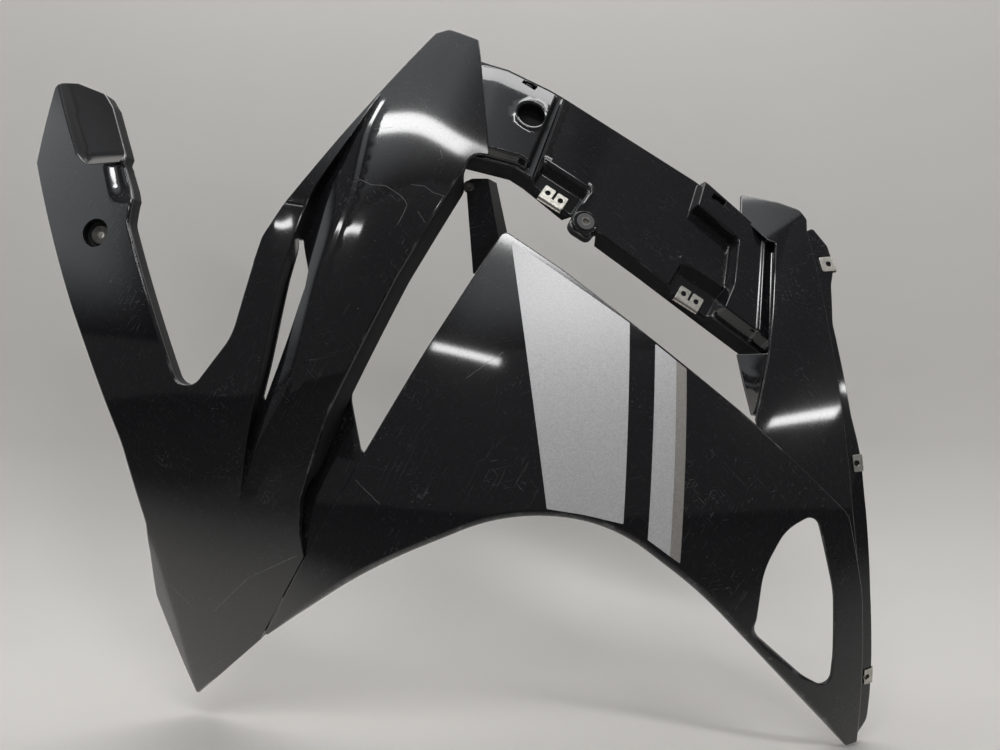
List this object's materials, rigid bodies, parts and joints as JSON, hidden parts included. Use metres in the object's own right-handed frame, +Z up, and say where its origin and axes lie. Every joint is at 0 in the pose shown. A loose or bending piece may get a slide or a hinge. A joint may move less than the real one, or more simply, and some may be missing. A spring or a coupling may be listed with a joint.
{
  "type": "motorcycle side fairing",
  "caption": "Motorcycle side fairing of layered gloss black mouldings with a shield, a lower wing with silver films, an inner panel, clip nuts and a rubber-bushed mount.",
  "frame": {"origin": "middle of the rubber grommet in the inner panel, on the bore's axis", "axes": "+X to the right along the outer face, +Y inward away from the outer face, +Z up as held on the motorcycle"},
  "size_m": [0.7933, 0.159, 0.6684],
  "materials": {
    "gloss_black": "gloss, scuffed",
    "satin_black": "satin, scuffed",
    "silver_film": "metallic film",
    "zinc_steel": "zinc plated",
    "rubber": "matte"
  },
  "bodies": {
    "root": {"upper_panel": "gloss_black", "lower_panel": "gloss_black", "side_panel": "gloss_black", "inner_panel": "satin_black", "centre_stay": "satin_black", "film_main": "silver_film", "film_stripe": "silver_film", "clip_nut_pair_upper": "zinc_steel", "clip_nut_pair_lower": "zinc_steel", "edge_clip_nut_top": "zinc_steel", "edge_clip_nut_middle": "zinc_steel", "edge_clip_nut_bottom": "zinc_steel", "grommet": "rubber", "grommet_collar": "zinc_steel", "arm_bush": "zinc_steel", "panel_screws": "zinc_steel"}
  },
  "joints": []
}
